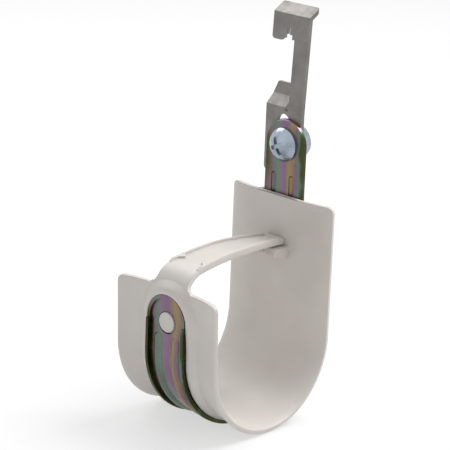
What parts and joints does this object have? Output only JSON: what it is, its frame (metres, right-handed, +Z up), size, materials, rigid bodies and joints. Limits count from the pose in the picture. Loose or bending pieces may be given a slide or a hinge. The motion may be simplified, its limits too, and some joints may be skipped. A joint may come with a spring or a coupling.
{
  "type": "j hook cable support",
  "caption": "Hook for data cables: a bent steel strip with a moulded saddle, a flexing retainer arm that closes over the cables, and a sheet steel clip to hang it by.",
  "frame": {"origin": "top of the stepped notch in the clip's jaw, halfway through the sheet", "axes": "+Z up, +X along the cables that lie in the hook, +Y from the lip towards the back plate"},
  "size_m": [0.0492, 0.0674, 0.1465],
  "materials": {
    "strip_steel": "plated, with faint rainbow colours",
    "moulded_plastic": "satin",
    "clip_steel": "dull dark coating",
    "zinc_steel": "bright zinc"
  },
  "bodies": {
    "hook": {"j_frame": "strip_steel", "saddle": "moulded_plastic", "rod_clip": "clip_steel", "pan_screw": "zinc_steel", "hex_nut": "zinc_steel"},
    "latch": {"retainer_arm": "moulded_plastic"}
  },
  "joints": [
    {"name": "latch_flex", "type": "hinge", "parent": "hook", "child": "latch", "pos_m": [0.0036, -0.05759, -0.0825], "axis": [1, 0, 0], "range_deg": [0, 60], "stiffness_Nm_per_rad": 0.02}
  ]
}
